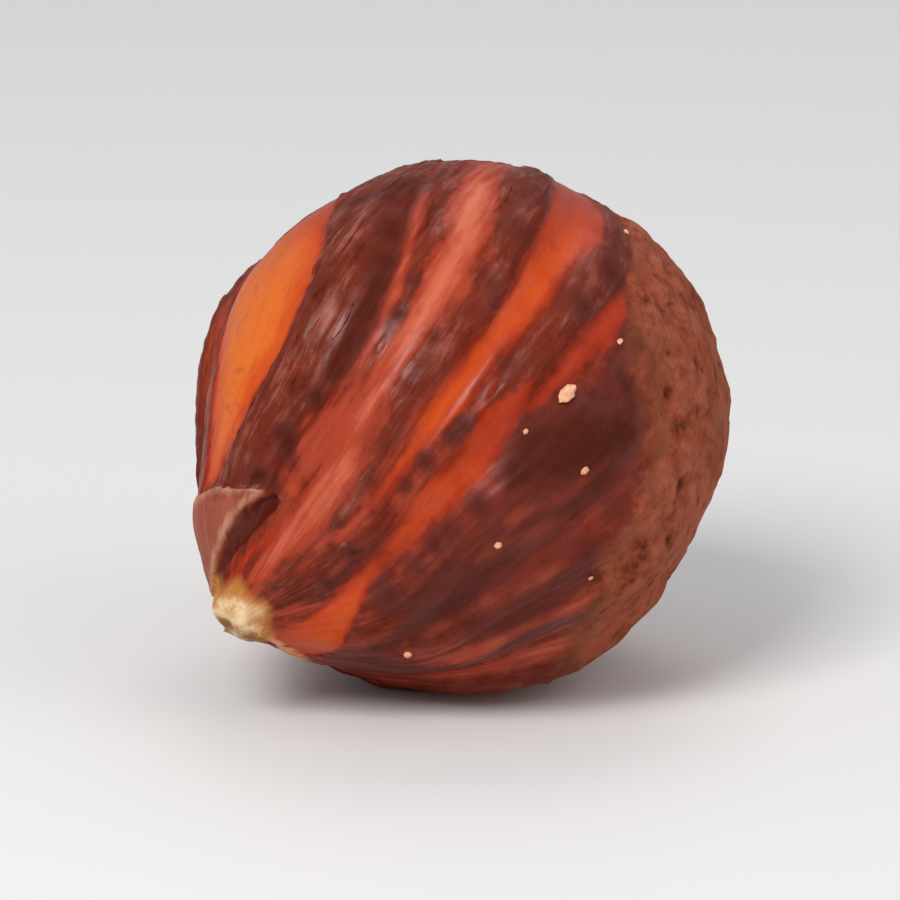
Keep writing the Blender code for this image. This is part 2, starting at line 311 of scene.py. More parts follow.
class HazelnutColours(bpy.types.PropertyGroup):
    """Colours of the skin."""

    orange_core: colour_property("Orange core", "Middle of the brightest stripe", "DC6C24")
    orange: colour_property("Orange", "Stripes where the outer skin is gone", "CA4A18")
    orange_edge: colour_property("Orange edge", "Edge of the bright stripes", "8E260C")
    red: colour_property("Red", "Duller bright stripes", "AE3416")
    rose: colour_property("Rose", "Streaks of thinner skin", "AA3E26")
    rose_light: colour_property("Light rose", "Middle of the rosy streaks", "D06A4C")
    skin_deep: colour_property("Deep skin", "Darkest of the plain skin", "4C1C13")
    skin: colour_property("Skin", "Plain skin", "722412")
    skin_light: colour_property("Light skin", "Lightest of the plain skin", "9C3820")
    strip_deep: colour_property("Deep strip", "Darkest of the outer skin", "3E1207")
    strip: colour_property("Strip", "Outer skin that is left on", "6A2410")
    strip_painted_highlight: colour_property("Light strip", "Papery highlights of the outer skin", "A65C4C")
    muted: colour_property("Muted", "Even, duller skin below the stripes", "6A281E")
    dark_and_painted_shade: colour_property("Shaded", "Dark areas of the skin", "46190B")
    cork: colour_property("Cork", "Corky patch over the base", "8C422B")
    cork_light: colour_property("Light cork", "High spots of the cork", "A86048")
    cork_deep: colour_property("Deep cork", "Low spots of the cork", "5A2E1C")
    cork_olive: colour_property("Olive cork", "Greyer areas of the cork", "623A24")
    pit: colour_property("Pit", "Inside of the pits", "4E2412")
    cream: colour_property("Cream", "The pale point", "F8D8A8")
    golden: colour_property("Golden", "Edges of the pale point", "C8823E")
    deep_cream_and_painted_shade: colour_property("Deep cream", "Folds and underside of the point", "7E431C")
    flap: colour_property("Flap", "Torn skin beside the point", "A0523E")
    flap_edge_and_painted_highlight: colour_property("Light flap", "Rim of the torn skin", "C08A6C")
    hollow: colour_property("Hollow", "Hollow beside the flap", "56180C")
    crumb: colour_property("Crumb", "Crumbs stuck to the skin", "E8A47E")


class HazelnutRelief(bpy.types.PropertyGroup):
    """Heights of the skin's relief."""

    refine: IntProperty(name="Refine", description="How many times the packed mesh is refined", default=2,
                        min=0, max=2)
    strip_height: length_property("Strip height", "How far the dark strips stand proud", 0.075)
    bare_depth: length_property("Bare depth", "How far the bright stripes lie below the skin", 0.045)
    fibre_height: length_property("Fibre height", "Height of the fibres along the skin", 0.034)
    wrinkle_height: length_property("Wrinkle height", "Height of the fine wrinkles", 0.022)
    cork_height: length_property("Cork height", "Height of the lumps in the cork", 0.075)
    flap_height: length_property("Flap height", "Thickness of the torn skin beside the point", 0.13)


class HazelnutStage(bpy.types.PropertyGroup):
    """Floor, light and camera."""

    azimuth: FloatProperty(name="Azimuth", description="Where the camera stands round the nut",
                           default=math.radians(-41.0), subtype="ANGLE")
    elevation: FloatProperty(name="Elevation", description="How high the camera stands",
                             default=math.radians(15.0), subtype="ANGLE")
    distance: FloatProperty(name="Distance", description="Camera to nut", default=0.17, unit="LENGTH")
    lens: FloatProperty(name="Lens", description="Focal length in millimetres", default=250.0, min=1.0)
    floor_radius: FloatProperty(name="Floor radius", description="Reach of the floor", default=1.5,
                                unit="LENGTH")
    floor_colour: colour_property("Floor", "Colour of the floor", "EDECEA")
    sky_colour: colour_property("Sky", "Colour of the light from all round", "F4F6FA")
    sky_strength: FloatProperty(name="Sky strength", description="Light from all round", default=0.42,
                                min=0.0)
    key_power: FloatProperty(name="Key power", description="Main light", default=0.48, min=0.0, unit="POWER")
    fill_power: FloatProperty(name="Fill power", description="Light from the right", default=0.12, min=0.0,
                              unit="POWER")
    rim_power: FloatProperty(name="Rim power", description="Light from behind", default=0.10, min=0.0,
                             unit="POWER")


def smooth_step(low, high, value):
    """0 below low, 1 above high and a smooth rise between them."""
    share = np.clip((value - low) / (high - low), 0.0, 1.0)
    return share * share * (3 - 2 * share)


def turn_between(first, second):
    """The shorter turn from one angle to another, in degrees."""
    return (first - second + 180.0) % 360.0 - 180.0


def comb_at(along):
    """How strongly the lines are combed apart at an angle along them."""
    return COMB_STRENGTH / (1 + np.exp((along - COMB_REACH) / COMB_FADE))


def ball_direction(latitude, angle):
    """Unit vectors at latitudes from the point and angles round it, both in radians."""
    across = np.outer(np.cos(angle), TOP) + np.outer(np.sin(angle), SIDE)
    return np.outer(np.cos(latitude), AXIS) + np.sin(latitude)[:, None] * across


def fan_direction(along, line):
    """Unit vectors towards places on the fan."""
    along, line = np.atleast_1d(along).astype(float), np.atleast_1d(line).astype(float)
    turn = np.radians(turn_between(line, COMB_MIDDLE))
    around = math.radians(COMB_MIDDLE) + turn + comb_at(along) * np.sin(turn)
    fanned = np.tan(np.radians(along) / 2) * np.exp(1j * around)
    flat = fanned / (1 + fanned / BASE_POLE)
    return ball_direction(2 * np.arctan(np.abs(flat)), np.angle(flat))


class Places:
    """Where points of the skin are on the fan, and how many millimetres a degree is there."""

    def __init__(self, points):
        out = points / MM - BALL_MIDDLE
        reach = np.linalg.norm(out, axis=1)
        self.points = points / MM
        self.unit = out / reach[:, None]
        latitude = np.arccos(np.clip(self.unit @ AXIS, -1.0, 1.0))
        flat = np.tan(latitude / 2) * np.exp(1j * np.arctan2(self.unit @ SIDE, self.unit @ TOP))
        fanned = flat / (1 - flat / BASE_POLE)
        self.along = np.degrees(2 * np.arctan(np.abs(fanned)))
        comb = comb_at(self.along)
        turn = self.uncombed(np.radians(turn_between(np.degrees(np.angle(fanned)), COMB_MIDDLE)), comb)
        self.line = turn_between(COMB_MIDDLE + np.degrees(turn), 0.0)
        spread = (1 + np.abs(fanned) ** 2) / (1 + np.abs(flat) ** 2) / np.abs(1 + fanned / BASE_POLE) ** 2
        self.per_along = reach * math.radians(1) * spread
        self.per_line = self.per_along * np.sin(np.radians(self.along)) * (1 + comb * np.cos(turn))

    @staticmethod
    def uncombed(combed, comb):
        """Undo the combing by halving: the turn whose combed turn is the one given."""
        low, high = np.full_like(combed, -math.pi), np.full_like(combed, math.pi)
        for _ in range(40):
            middle = (low + high) / 2
            below = middle + comb * np.sin(middle) < combed
            low = np.where(below, middle, low)
            high = np.where(below, high, middle)
        return (low + high) / 2

    def inside(self, edges):
        """How far inside a stretch between two lines each place is, in mm, negative outside it."""
        along, left, right = np.array(edges, float).T
        middle = np.interp(self.along, along, (left + right) / 2)
        half = np.interp(self.along, along, (left - right) / 2)
        across = (half - np.abs(turn_between(self.line, middle))) * self.per_line
        ends = np.minimum(self.along - along[0], along[-1] - self.along) * self.per_along
        return np.minimum(across, ends)

    def inside_any(self, stretches):
        """How far inside the nearest of some stretches each place is, in mm, and never below -1."""
        return np.maximum(-1.0, np.max([self.inside(edges) for edges in stretches], axis=0))

    def away(self, along, line):
        """Distance from one place of the fan, in mm."""
        reach = np.linalg.norm(self.points - BALL_MIDDLE, axis=1)
        return reach * np.arccos(np.clip(self.unit @ fan_direction(along, line)[0], -1.0, 1.0))

    def grain(self, width=1.0, length=1.0, shift=0.0):
        """Coordinates stretched along the lines, for fibres of a width and length in degrees."""
        turn = np.radians(self.line)
        often = math.degrees(1) / width
        return np.stack((np.cos(turn) * often + shift, np.sin(turn) * often, self.along / length), axis=1)

    def fibres(self, width, length, shift=0.0, wander=0.0):
        """Noise from -1 to 1 stretched along the lines, which wander sideways by up to some degrees."""
        grain = self.grain(width, length, shift)
        if wander:
            grain[:, :2] += (self.lumps(1.5, shift) * wander / width)[:, None]
        return noise_at(grain)

    def lumps(self, size, shift=0.0):
        """Noise from -1 to 1 that is the same size every way, in mm."""
        return noise_at(self.points / size + shift)


def noise_at(points):
    """Smooth noise at many points."""
    return np.array([noise.noise(point) for point in points.tolist()])


def hidden_stripes():
    """Stripes over the hidden side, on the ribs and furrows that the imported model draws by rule."""
    draw = random.Random(HIDDEN_SEED)
    tint = random.Random(HIDDEN_TONE_SEED)
    bright, rose, dark = [], [], []
    angle, sign = HIDDEN_FROM, 1
    while angle < HIDDEN_TO:
        start, end = draw.uniform(*HIDDEN_START), draw.uniform(*HIDDEN_END)
        half = draw.uniform(*HIDDEN_WIDTH)
        draw.uniform(*HIDDEN_HEIGHT)  # the rib's height in the model, drawn here to keep in step with it
        lean, swell = tint.uniform(*HIDDEN_LEAN), tint.uniform(*HIDDEN_SWELL)
        middle = (start + end) / 2
        edges = (
            (start - 6, angle - lean + 0.4, angle - lean - 0.4),
            (start + 12, angle - lean / 2 + half * 0.6, angle - lean / 2 - half * 0.5 * swell),
            (middle, angle + half * swell * 0.8, angle - half * 0.8),
            (end - 12, angle + lean + half * 0.7, angle + lean - half * 0.6 * swell),
            (end + 8, angle + lean + 0.4, angle + lean - 0.4),
        )
        if sign > 0:
            dark.append(edges)
        elif tint.random() < HIDDEN_BRIGHT_SHARE:
            bright.append((tint.uniform(*HIDDEN_WARMTH), edges))
        else:
            rose.append(edges)
        angle += draw.uniform(*HIDDEN_STEP)
        sign = -sign
    return bright, rose, dark


def cork_middle():
    """The direction of the corky patch's middle."""
    return ball_direction(np.array([CORK_LATITUDE]), np.array([CORK_ANGLE]))[0]


def cork_inside(places):
    """How far inside the corky patch each place is, in mm."""
    away = np.degrees(np.arccos(np.clip(places.unit @ cork_middle(), -1.0, 1.0)))
    turned = np.stack((places.unit @ TOP, places.unit @ SIDE, places.unit @ AXIS), axis=1)
    edge = CORK_REACH + sum(far * noise_at(turned * often) for often, far in CORK_RAGGED)
    by_rule = (edge - away) * math.radians(1) * BALL_RADIUS
    round_pole = CORK_ROUND_POLE - places.away(*BASE_END) + (edge - CORK_REACH) * CORK_POLE_RAGGED
    by_rule = np.log(np.exp(CORK_BLEND * by_rule) + np.exp(CORK_BLEND * round_pole)) / CORK_BLEND
    lines, alongs = np.array(CORK_SEEN_EDGE, float).T
    by_eye = (places.along - np.interp(places.line, lines, alongs)) * places.per_along
    out_left, in_left, in_right, out_right = CORK_SEEN_LINES
    seen = smooth_step(out_left, in_left, places.line) * (1 - smooth_step(in_right, out_right, places.line))
    seen = seen * (1 - smooth_step(*CORK_SEEN_END, places.along))
    return by_rule * (1 - seen) + by_eye * seen


def tree_of(points):
    """A tree that finds the points near a place."""
    tree = KDTree(len(points))
    for index, point in enumerate(points):
        tree.insert(point, index)
    tree.balance()
    return tree


def pit_depths(places, cork):
    """Depth of the pits at each place, and how deep in a pit it is from 0 to 1."""
    tree = tree_of(places.points.tolist())
    draw = random.Random(PIT_SEED)
    pits = [(fan_direction(along, line)[0], radius, depth) for along, line, radius, depth in SEEN_PITS]
    for _ in range(PIT_COUNT):
        way = Vector(cork_middle()) + Vector([draw.gauss(0.0, PIT_SCATTER) for _ in range(3)])
        pits.append((np.array(way.normalized()), draw.uniform(*PIT_RADIUS), draw.uniform(*PIT_DEPTH)))
    depth_at, share = np.zeros(len(cork)), np.zeros(len(cork))
    for way, radius, depth in pits:
        nearest = places.points[int(np.argmax(places.unit @ way))]
        for _, index, distance in tree.find_range(nearest, radius * PIT_SLOPE):
            if cork[index] > PIT_INSIDE:
                fall = math.exp(-((distance / radius) ** 2))
                depth_at[index] += depth * fall
                share[index] = max(share[index], fall)
    return depth_at, share


def skin_fields(places):
    """The measures that the relief and the colours of the skin are made from, one value per place."""
    more_bright, more_rose, more_dark = hidden_stripes()
    ragged = 0.17 * places.fibres(3.6, 9.0) + 0.12 * places.fibres(1.5, 13.0, 40.0)
    ragged += 0.06 * places.lumps(0.24)
    torn = 0.20 * places.fibres(3.0, 7.0, 80.0) + 0.13 * places.fibres(1.3, 11.0, 20.0)
    torn += 0.07 * places.lumps(0.2)
    bright, warmth = np.full(len(ragged), -1.0), np.zeros(len(ragged))
    for warm, edges in BRIGHT_STRIPES + tuple(more_bright):
        depth = places.inside(edges) + 0.05
        start, end = edges[0][0], edges[-1][0]
        from_middle = (places.along - start - STRIPE_WARMEST * (end - start)) / (end - start) * 2
        warmth = np.where(depth > bright, warm * (1 - STRIPE_END_COOLING * from_middle**2), warmth)
        bright = np.maximum(bright, depth)
    rose = places.inside_any(ROSE_STREAKS + tuple(more_rose))
    dark = places.inside_any(DARK_STRIPS + tuple(more_dark))
    cork = cork_inside(places) + 1.6 * torn
    # Darker and lighter areas: dark patches, painted shade in the groove, lighter skin and painted
    # highlights
    shade = np.zeros(len(ragged))
    for along, line, radius, amount in TONE_AND_PAINTED_LIGHT_AREAS:
        shade += amount * np.exp(-((places.away(along, line) / radius) ** 2))
    pit_depth, pit = pit_depths(places, cork)
    tip = places.away(*POINT_END)
    pale = PALE_REACH + PALE_WANDER * places.lumps(0.55, 9.0) - tip
    return {
        "bright": bright + ragged, "warmth": warmth, "rose": rose + 1.2 * ragged, "dark": dark - 0.05 + torn,
        "cork": cork, "shade": shade, "pit_depth": pit_depth, "pit": pit, "tip": tip, "pale": pale,
        "above": (places.points - BALL_MIDDLE) @ TOP,
        "flap": places.inside(FLAP) + 0.25 * torn + 0.09 * places.lumps(0.7, 11.0),
        "loose": 1 - smooth_step(*FLAP_MERGES, places.line + 10.0 * places.lumps(0.8, 13.0)),
        "hollow": places.inside(HOLLOW) + 0.4 * ragged,
        "ledge": places.inside(LEDGE) + 0.5 * ragged,
    }


def skin_relief(places, fields, heights):
    """How far each place of the skin moves outwards, in mm."""
    bare = smooth_step(-0.06, 0.16, fields["bright"])
    strip = smooth_step(-0.05, 0.08, fields["dark"]) * (1 - smooth_step(0.0, 0.3, fields["cork"]))
    cork = smooth_step(-0.30, 0.35, fields["cork"])
    point = 1 - smooth_step(0.8, 1.6, fields["tip"])
    ridges = 1 - 2.4 * np.abs(places.fibres(3.4, 22.0, 5.0, 1.6))
    threads = places.fibres(1.5, 12.0, 60.0, 1.0)
    fibre = (0.8 * ridges + 0.6 * threads) * heights.fibre_height / MM
    wrinkle = (places.lumps(0.42, 3.0) + 0.6 * places.lumps(0.21, 7.0)) * heights.wrinkle_height / MM
    lumps = places.lumps(0.70, 1.0) + 0.6 * places.lumps(0.34, 2.0) + 0.35 * places.lumps(0.18, 4.0)
    height = strip * heights.strip_height / MM - bare * (1 - strip) * heights.bare_depth / MM
    height += fibre * (1 - 0.7 * bare * (1 - strip)) * (1 - 0.75 * cork) * (1 - 0.95 * point)
    height += wrinkle * (0.5 + 0.9 * strip - 0.25 * bare) * (1 - cork)
    height += cork * (lumps * heights.cork_height / MM + 0.03) - fields["pit_depth"]
    flap = smooth_step(-0.05, 0.09, fields["flap"]) * smooth_step(0.5, 1.2, fields["tip"]) * fields["loose"]
    height += flap * heights.flap_height / MM
    height -= HOLLOW_DEPTH * smooth_step(-0.08, 0.24, fields["hollow"])
    height += LEDGE_HEIGHT * smooth_step(-0.04, 0.08, fields["ledge"])
    pale = smooth_step(-0.05, 0.12, fields["pale"])
    height += PALE_HEIGHT * pale + TIP_LUMP_HEIGHT * point * places.lumps(0.50, 6.0)
    lobes = np.cos(np.radians(2 * places.line - TIP_LOBES_TURN)) + 0.5 * np.cos(np.radians(3 * places.line))
    height += TIP_LOBE_HEIGHT * lobes * np.exp(-(((fields["tip"] - TIP_LOBE_REACH) / TIP_LOBE_WIDTH) ** 2))
    height -= TIP_DIMPLE_DEPTH * np.exp(-((fields["tip"] / TIP_DIMPLE_RADIUS) ** 2))
    return height


def coordinates(mesh):
    """The places of a mesh's vertices."""
    points = np.zeros(len(mesh.vertices) * 3)
    mesh.vertices.foreach_get("co", points)
    return points.reshape(-1, 3)


def keep_field(mesh, name, values):
    """Keep one measure on the mesh, for its material."""
    layer = mesh.attributes.new(name, "FLOAT", "POINT")
    layer.data.foreach_set("value", np.asarray(values, np.float32))


def keep_grain(mesh, places):
    """Keep the coordinates of the fibres on the mesh."""
    grain = mesh.attributes.new("grain", "FLOAT_VECTOR", "POINT")
    grain.data.foreach_set("vector", places.grain().astype(np.float32).ravel())


def only(piece):
    """Select one object and nothing else."""
    bpy.ops.object.select_all(action="DESELECT")
    piece.select_set(True)
    bpy.context.view_layer.objects.active = piece


def edit(*steps):
    """Run mesh operators on the active object, with all of it selected."""
    bpy.ops.object.mode_set(mode="EDIT")
    bpy.ops.mesh.select_all(action="SELECT")
    for step in steps:
        step()
    bpy.ops.object.mode_set(mode="OBJECT")


def apply_modifier(piece, kind, **settings):
    """Add a modifier with these settings and apply it."""
    modifier = piece.modifiers.new(kind.title(), kind)
    for name, value in settings.items():
        setattr(modifier, name, value)
    only(piece)
    bpy.ops.object.modifier_apply(modifier=modifier.name)


def join(pieces, name):
    """Make one object of several."""
    bpy.ops.object.select_all(action="DESELECT")
    for piece in pieces:
        piece.select_set(True)
    bpy.context.view_layer.objects.active = pieces[0]
    bpy.ops.object.join()
    pieces[0].name = name
    pieces[0].data.name = name
    return pieces[0]


class Surface:
    """The finished skin, to set small pieces on."""

    def __init__(self, piece):
        self.mesh = piece.data
        self.tree = BVHTree.FromPolygons([v.co for v in piece.data.vertices],
                                         [p.vertices for p in piece.data.polygons])

    def at(self, along, line):
        """The place and the outward direction of the skin at one place of the fan."""
        way = Vector(fan_direction(along, line)[0])
        start = Vector(BALL_MIDDLE) * MM + way * 4 * BALL_RADIUS * MM
        place, normal, _, _ = self.tree.ray_cast(start, -way)
        if place is None:
            raise RuntimeError(f"no skin at along {along}, line {line}")
        return place, normal

    def stand(self, along, line):
        """The place of the skin at one place of the fan, with the ways out, along its line and across it."""
        place, out = self.at(along, line)
        ahead, _ = self.at(along + 1.0, line)
        forward = (ahead - place).normalized()
        return place, out, forward, out.cross(forward).normalized()

    def lend_fields(self, piece):
        """Give another piece the measures that the skin has where it lies."""
        tree = tree_of([vertex.co for vertex in self.mesh.vertices])
        chosen = np.array([tree.find(vertex.co)[1] for vertex in piece.data.vertices])
        for name in SHADED_BY:
            values = np.zeros(len(self.mesh.vertices), np.float32)
            self.mesh.attributes[name].data.foreach_get("value", values)
            keep_field(piece.data, name, values[chosen])
        keep_grain(piece.data, Places(coordinates(piece.data)))

    def beside(self, point):
        """The place and outward direction of the skin nearest to a point."""
        place, normal, _, _ = self.tree.find_nearest(point)
        return place, normal


class Value:
    """A number that changes over a surface. Sums and products of it add Math nodes to its material."""

    def __init__(self, finish, socket):
        self.finish = finish
        self.socket = socket

    def __add__(self, other):
        return self.finish.maths("ADD", self, other)

    def __sub__(self, other):
        return self.finish.maths("SUBTRACT", self, other)

    def __rsub__(self, other):
        return self.finish.maths("SUBTRACT", other, self)

    def __mul__(self, other):
        return self.finish.maths("MULTIPLY", self, other)

    __radd__ = __add__
    __rmul__ = __mul__


class Finish:
    """A procedural material."""

    def __init__(self, name):
        self.material = bpy.data.materials.new(name)
        self.material.use_nodes = True
        self.tree = self.material.node_tree
        self.shader = self.tree.nodes["Principled BSDF"]
        self.place = self.node("ShaderNodeTexCoord").outputs["Object"]

    def node(self, kind, settings=None, inputs=None):
        """Add a node: its settings first, then the values or links of its sockets."""
        node = self.tree.nodes.new(kind)
        settings = dict(settings or {})
        stops = settings.pop("stops", None)
        for name, value in settings.items():
            setattr(node, name, value)
        if stops:
            while len(node.color_ramp.elements) < len(stops):
                node.color_ramp.elements.new(0.5)
            for element, (position, colour) in zip(node.color_ramp.elements, stops):
                element.position = position
                element.color = (*colour, 1.0)
        for name, value in (inputs or {}).items():
            self.feed(node.inputs[name], value)
        return node

    def feed(self, socket, value):
        """Link a socket to what feeds it, or set its value."""
        if isinstance(value, Value):
            value = value.socket
        if isinstance(value, bpy.types.NodeSocket):
            self.tree.links.new(value, socket)
        elif socket.type == "RGBA":
            socket.default_value = (*value, 1.0)
        else:
            socket.default_value = value

    def maths(self, operation, first, second):
        """A Math node on two numbers."""
        node = self.node("ShaderNodeMath", {"operation": operation}, {0: first, 1: second})
        return Value(self, node.outputs[0])

    def field(self, name):
        """A measure kept on the mesh."""
        return Value(self, self.node("ShaderNodeAttribute", {"attribute_name": name}).outputs["Fac"])

    def step(self, low, high, value):
        """0 below low, 1 above high and a smooth rise between them."""
        node = self.node("ShaderNodeMapRange", {"interpolation_type": "SMOOTHSTEP"},
                         {"Value": value, "From Min": low, "From Max": high})
        return Value(self, node.outputs["Result"])

    def noise(self, vector, scale, detail=3.0, roughness=0.55):
        """Noise from 0 to 1."""
        node = self.node("ShaderNodeTexNoise", None, {"Vector": vector, "Scale": scale, "Detail": detail,
                                                      "Roughness": roughness})
        return Value(self, node.outputs[0])

    def stretched(self, vector, across, along):
        """Grain coordinates for fibres of a width and length in degrees."""
        factors = (1 / across, 1 / across, 1 / along)
        scaled = self.node("ShaderNodeVectorMath", {"operation": "MULTIPLY"}, {0: vector, 1: factors})
        return scaled.outputs[0]

    def wavy(self, vector, often, reach):
        """Coordinates that wander by up to half of the reach."""
        sway = self.node("ShaderNodeTexNoise", None, {"Vector": self.place, "Scale": often, "Detail": 2.0})
        swing = self.node("ShaderNodeVectorMath", {"operation": "SUBTRACT"},
                          {0: sway.outputs["Color"], 1: (0.5, 0.5, 0.5)})
        return self.node("ShaderNodeVectorMath", {"operation": "MULTIPLY_ADD"},
                         {0: swing.outputs[0], 1: reach, 2: vector}).outputs[0]

    def mix(self, factor, first, second):
        """One colour over another."""
        node = self.node("ShaderNodeMix", {"data_type": "RGBA"}, {0: factor, 6: first, 7: second})
        return node.outputs[2]

    def ramp(self, factor, stops):
        """A colour that follows a number."""
        return self.node("ShaderNodeValToRGB", {"stops": stops}, {"Fac": factor}).outputs["Color"]

    def bump(self, height, distance, strength):
        """Fine relief: height from 0 to 1 stands for the distance given."""
        bump = self.node("ShaderNodeBump", None,
                         {"Strength": strength, "Distance": distance, "Height": height})
        return bump.outputs["Normal"]

    def shade(self, inputs):
        """Feed the shader, and give the material."""
        for name, value in inputs.items():
            self.feed(self.shader.inputs[name], value)
        return self.material


def skin_finish(colours):
    """The skin, from bare orange stripes to papery outer skin and cork."""
    finish = Finish("hazelnut_skin_detail")
    mix, step = finish.mix, finish.step
    grain = finish.node("ShaderNodeAttribute", {"attribute_name": "grain"}).outputs["Vector"]
    field = {name: finish.field(name) for name in SHADED_BY}
    wavy = finish.wavy(grain, 520.0, (2.4, 2.4, 6.0))
    broad = finish.noise(finish.stretched(wavy, 6.5, 26.0), 1.0, 3.0, 0.55)
    fibre = finish.noise(finish.stretched(wavy, 2.2, 15.0), 1.0, 4.0, 0.6)
    thread = finish.noise(finish.stretched(wavy, 0.8, 8.0), 1.0, 3.0, 0.6)
    mottle = finish.noise(finish.place, 2300.0, 5.0, 0.62)
    speck = finish.noise(finish.place, 8000.0, 3.0, 0.6)
    patch = finish.noise(finish.place, 620.0, 3.0, 0.5)
    blot = finish.noise(finish.place, 1150.0, 4.0, 0.6)
    fray = 0.24 * (thread - 0.5) + 0.30 * (mottle - 0.5) + 0.16 * (fibre - 0.5)

    # Plain skin and its rosy streaks; the darker and lighter areas darken and lighten it, painted shade
    # in the groove and painted highlights on the dark strips among them
    tint = 0.30 * fibre + 0.34 * broad + 0.22 * mottle + 0.14 * patch - 0.20 * field["shade"]
    plain = finish.ramp(tint, (
        (0.38, colours.skin_deep), (0.48, colours.skin), (0.58, colours.skin_light), (0.72, colours.rose)))
    glow = field["rose"] + 0.8 * (fibre - 0.5) + 0.7 * (broad - 0.5)
    rosy = mix(step(0.05, 0.65, glow), colours.rose, colours.rose_light)
    rosy = mix(step(0.50, 0.72, mottle) * 0.35, rosy, colours.skin_light)
    colour = mix(step(-0.20, 0.16, field["rose"] + 0.8 * fray) * 0.9, plain, rosy)

    # Stripes where the outer skin is gone
    inner = field["bright"] + 0.40 * (broad - 0.5) + 0.35 * (blot - 0.5)
    vivid = mix(step(0.20, 1.15, inner) * field["warmth"], colours.orange, colours.orange_core)
    vivid = mix(step(0.0, 0.85, field["warmth"] + 0.6 * (patch - 0.5)), colours.red, vivid)
    vivid = mix(step(-0.04, 0.40, inner), colours.orange_edge, vivid)
    vivid = mix(step(0.52, 0.74, fibre) * 0.45, vivid, colours.red)
    vivid = mix(step(0.54, 0.70, 0.5 * mottle + 0.5 * blot) * 0.40, vivid, colours.orange_edge)
    colour = mix(step(-0.10, 0.14, field["bright"] + 0.8 * fray), colour, vivid)

    # Dark strips, with painted highlights on their papery streaks, in the lighter areas and on their crests,
    # then the darker areas of skin, with painted shade among them
    papery = finish.ramp(0.36 * thread + 0.34 * fibre + 0.20 * mottle + 0.10 * blot, (
        (0.36, colours.strip_deep), (0.46, colours.strip), (0.58, colours.strip),
        (0.76, colours.strip_painted_highlight)))
    papery = mix(step(0.44, 0.64, broad) * 0.6, papery, colours.skin)
    # Painted highlight: the lightest streaks of the dark strips, more of them in the lighter areas
    streaky = 2.0 * (thread - 0.5) + 1.8 * (fibre - 0.5) + 1.0 * (mottle - 0.5)
    papery = mix(step(0.15, 1.25, streaky - field["shade"]) * 0.8, papery, colours.strip_painted_highlight)
    strip = step(-0.08, 0.12, field["dark"] + 1.2 * fray)
    colour = mix(strip * 0.92, colour, papery)
    # Painted highlight on the crests of the relief
    painted_crest_highlight = step(0.20, 0.60, field["relief"] + 0.6 * (mottle - 0.5))
    painted_crest_highlight = painted_crest_highlight * step(0.50, 0.62, 0.35 * blot + 0.65 * fibre)
    colour = mix(painted_crest_highlight * strip * 0.35, colour, colours.strip_painted_highlight)
    # Over the darker areas, duller skin and then the dark colour: dark patches, a darkening over the lower
    # side and painted shade in the groove beside the first strip
    colour = mix(step(0.06, 0.42, field["shade"]) * 0.66, colour, colours.muted)
    dark_and_shade_mask = step(0.14, 1.0, field["shade"] + 0.8 * (mottle - 0.5) + 0.6 * (blot - 0.5))
    colour = mix(dark_and_shade_mask * (1.02 - 0.6 * thread), colour, colours.dark_and_painted_shade)

    # Torn skin beside the point with a lighter rim, partly its own paler edge and partly painted highlight,
    # the hollow it left darkened with painted shade, and the ledge under the point
    # Lighter rim of the torn skin, partly painted highlight
    torn = mix(step(0.0, 0.36, field["flap"] + 0.8 * fray), colours.flap_edge_and_painted_highlight, colours.flap)
    torn = mix(step(0.42, 0.60, 0.5 * fibre + 0.5 * blot) * 0.45, torn, colours.skin)
    flap = step(-0.08, 0.08, field["flap"] + 0.4 * fray) * field["loose"]
    colour = mix(flap, colour, torn)
    # Painted shade: the hollow beside the flap is darkened
    hollow_painted_shade = step(-0.10, 0.20, field["hollow"] + 0.8 * fray)
    colour = mix(hollow_painted_shade * 0.85, colour, colours.hollow)
    edge = step(-0.10, 0.10, field["ledge"] + 0.8 * fray)
    edge = edge * step(3.4, 1.2, field["tip"])
    colour = mix(edge * 0.8, colour, mix(mottle, colours.orange_core, colours.cream))

    # Cork with its olive border and its pits
    # The relief's small share makes the cork's high spots lighter and its low spots darker, painted light
    # and shade
    corky = finish.ramp(0.30 * mottle + 0.30 * blot + 0.26 * patch + 0.14 * speck + 0.10 * field["relief"], (
        (0.37, colours.cork_deep), (0.46, colours.cork), (0.60, colours.cork_light)))
    border = step(1.7, 0.1, field["cork"] + 1.2 * (patch - 0.5))
    border = border * step(0.40, 0.60, patch + 0.4 * (blot - 0.5))
    corky = mix(border * 0.8, corky, colours.cork_olive)
    corky = mix(step(0.52, 0.64, blot) * 0.40, corky, colours.skin_light)
    pitted = step(0.20, 0.95, field["pit"] + 0.5 * (mottle - 0.5))
    corky = mix(pitted * 0.7, corky, colours.pit)
    cork = step(-0.60, 0.55, field["cork"] + 1.6 * fray + 1.2 * (blot - 0.5))
    colour = mix(cork * 0.93, colour, corky)

    # The pale point, with painted shade on its underside and a darker dimple, and painted shade in the
    # lowest furrows
    # Painted shade: the point's lower side takes the deep cream, and its higher lumps lean a little to cream
    above = step(-1.0, 0.1, field["above"] + 1.0 * (mottle - 0.5))
    crown = step(0.36, 0.58, blot + 0.12 * (field["relief"] - 0.6))
    point = mix(above, colours.deep_cream_and_painted_shade, mix(crown, colours.golden, colours.cream))
    dimple = step(0.34, 0.08, field["tip"] + 0.3 * (mottle - 0.5))
    point = mix(dimple * 0.6, point, colours.deep_cream_and_painted_shade)
    rim = step(-0.34, 0.02, field["pale"] + 0.5 * fray)
    colour = mix(rim * 0.75, colour, colours.golden)
    colour = mix(step(-0.10, 0.26, field["pale"] + 0.5 * fray), colour, point)
    # Painted shade: the lowest places of the relief are darkened
    low = step(-0.15, -0.80, field["relief"] + 0.3 * (mottle - 0.5)) * 0.45
    colour = mix(low, colour, colours.skin_deep)

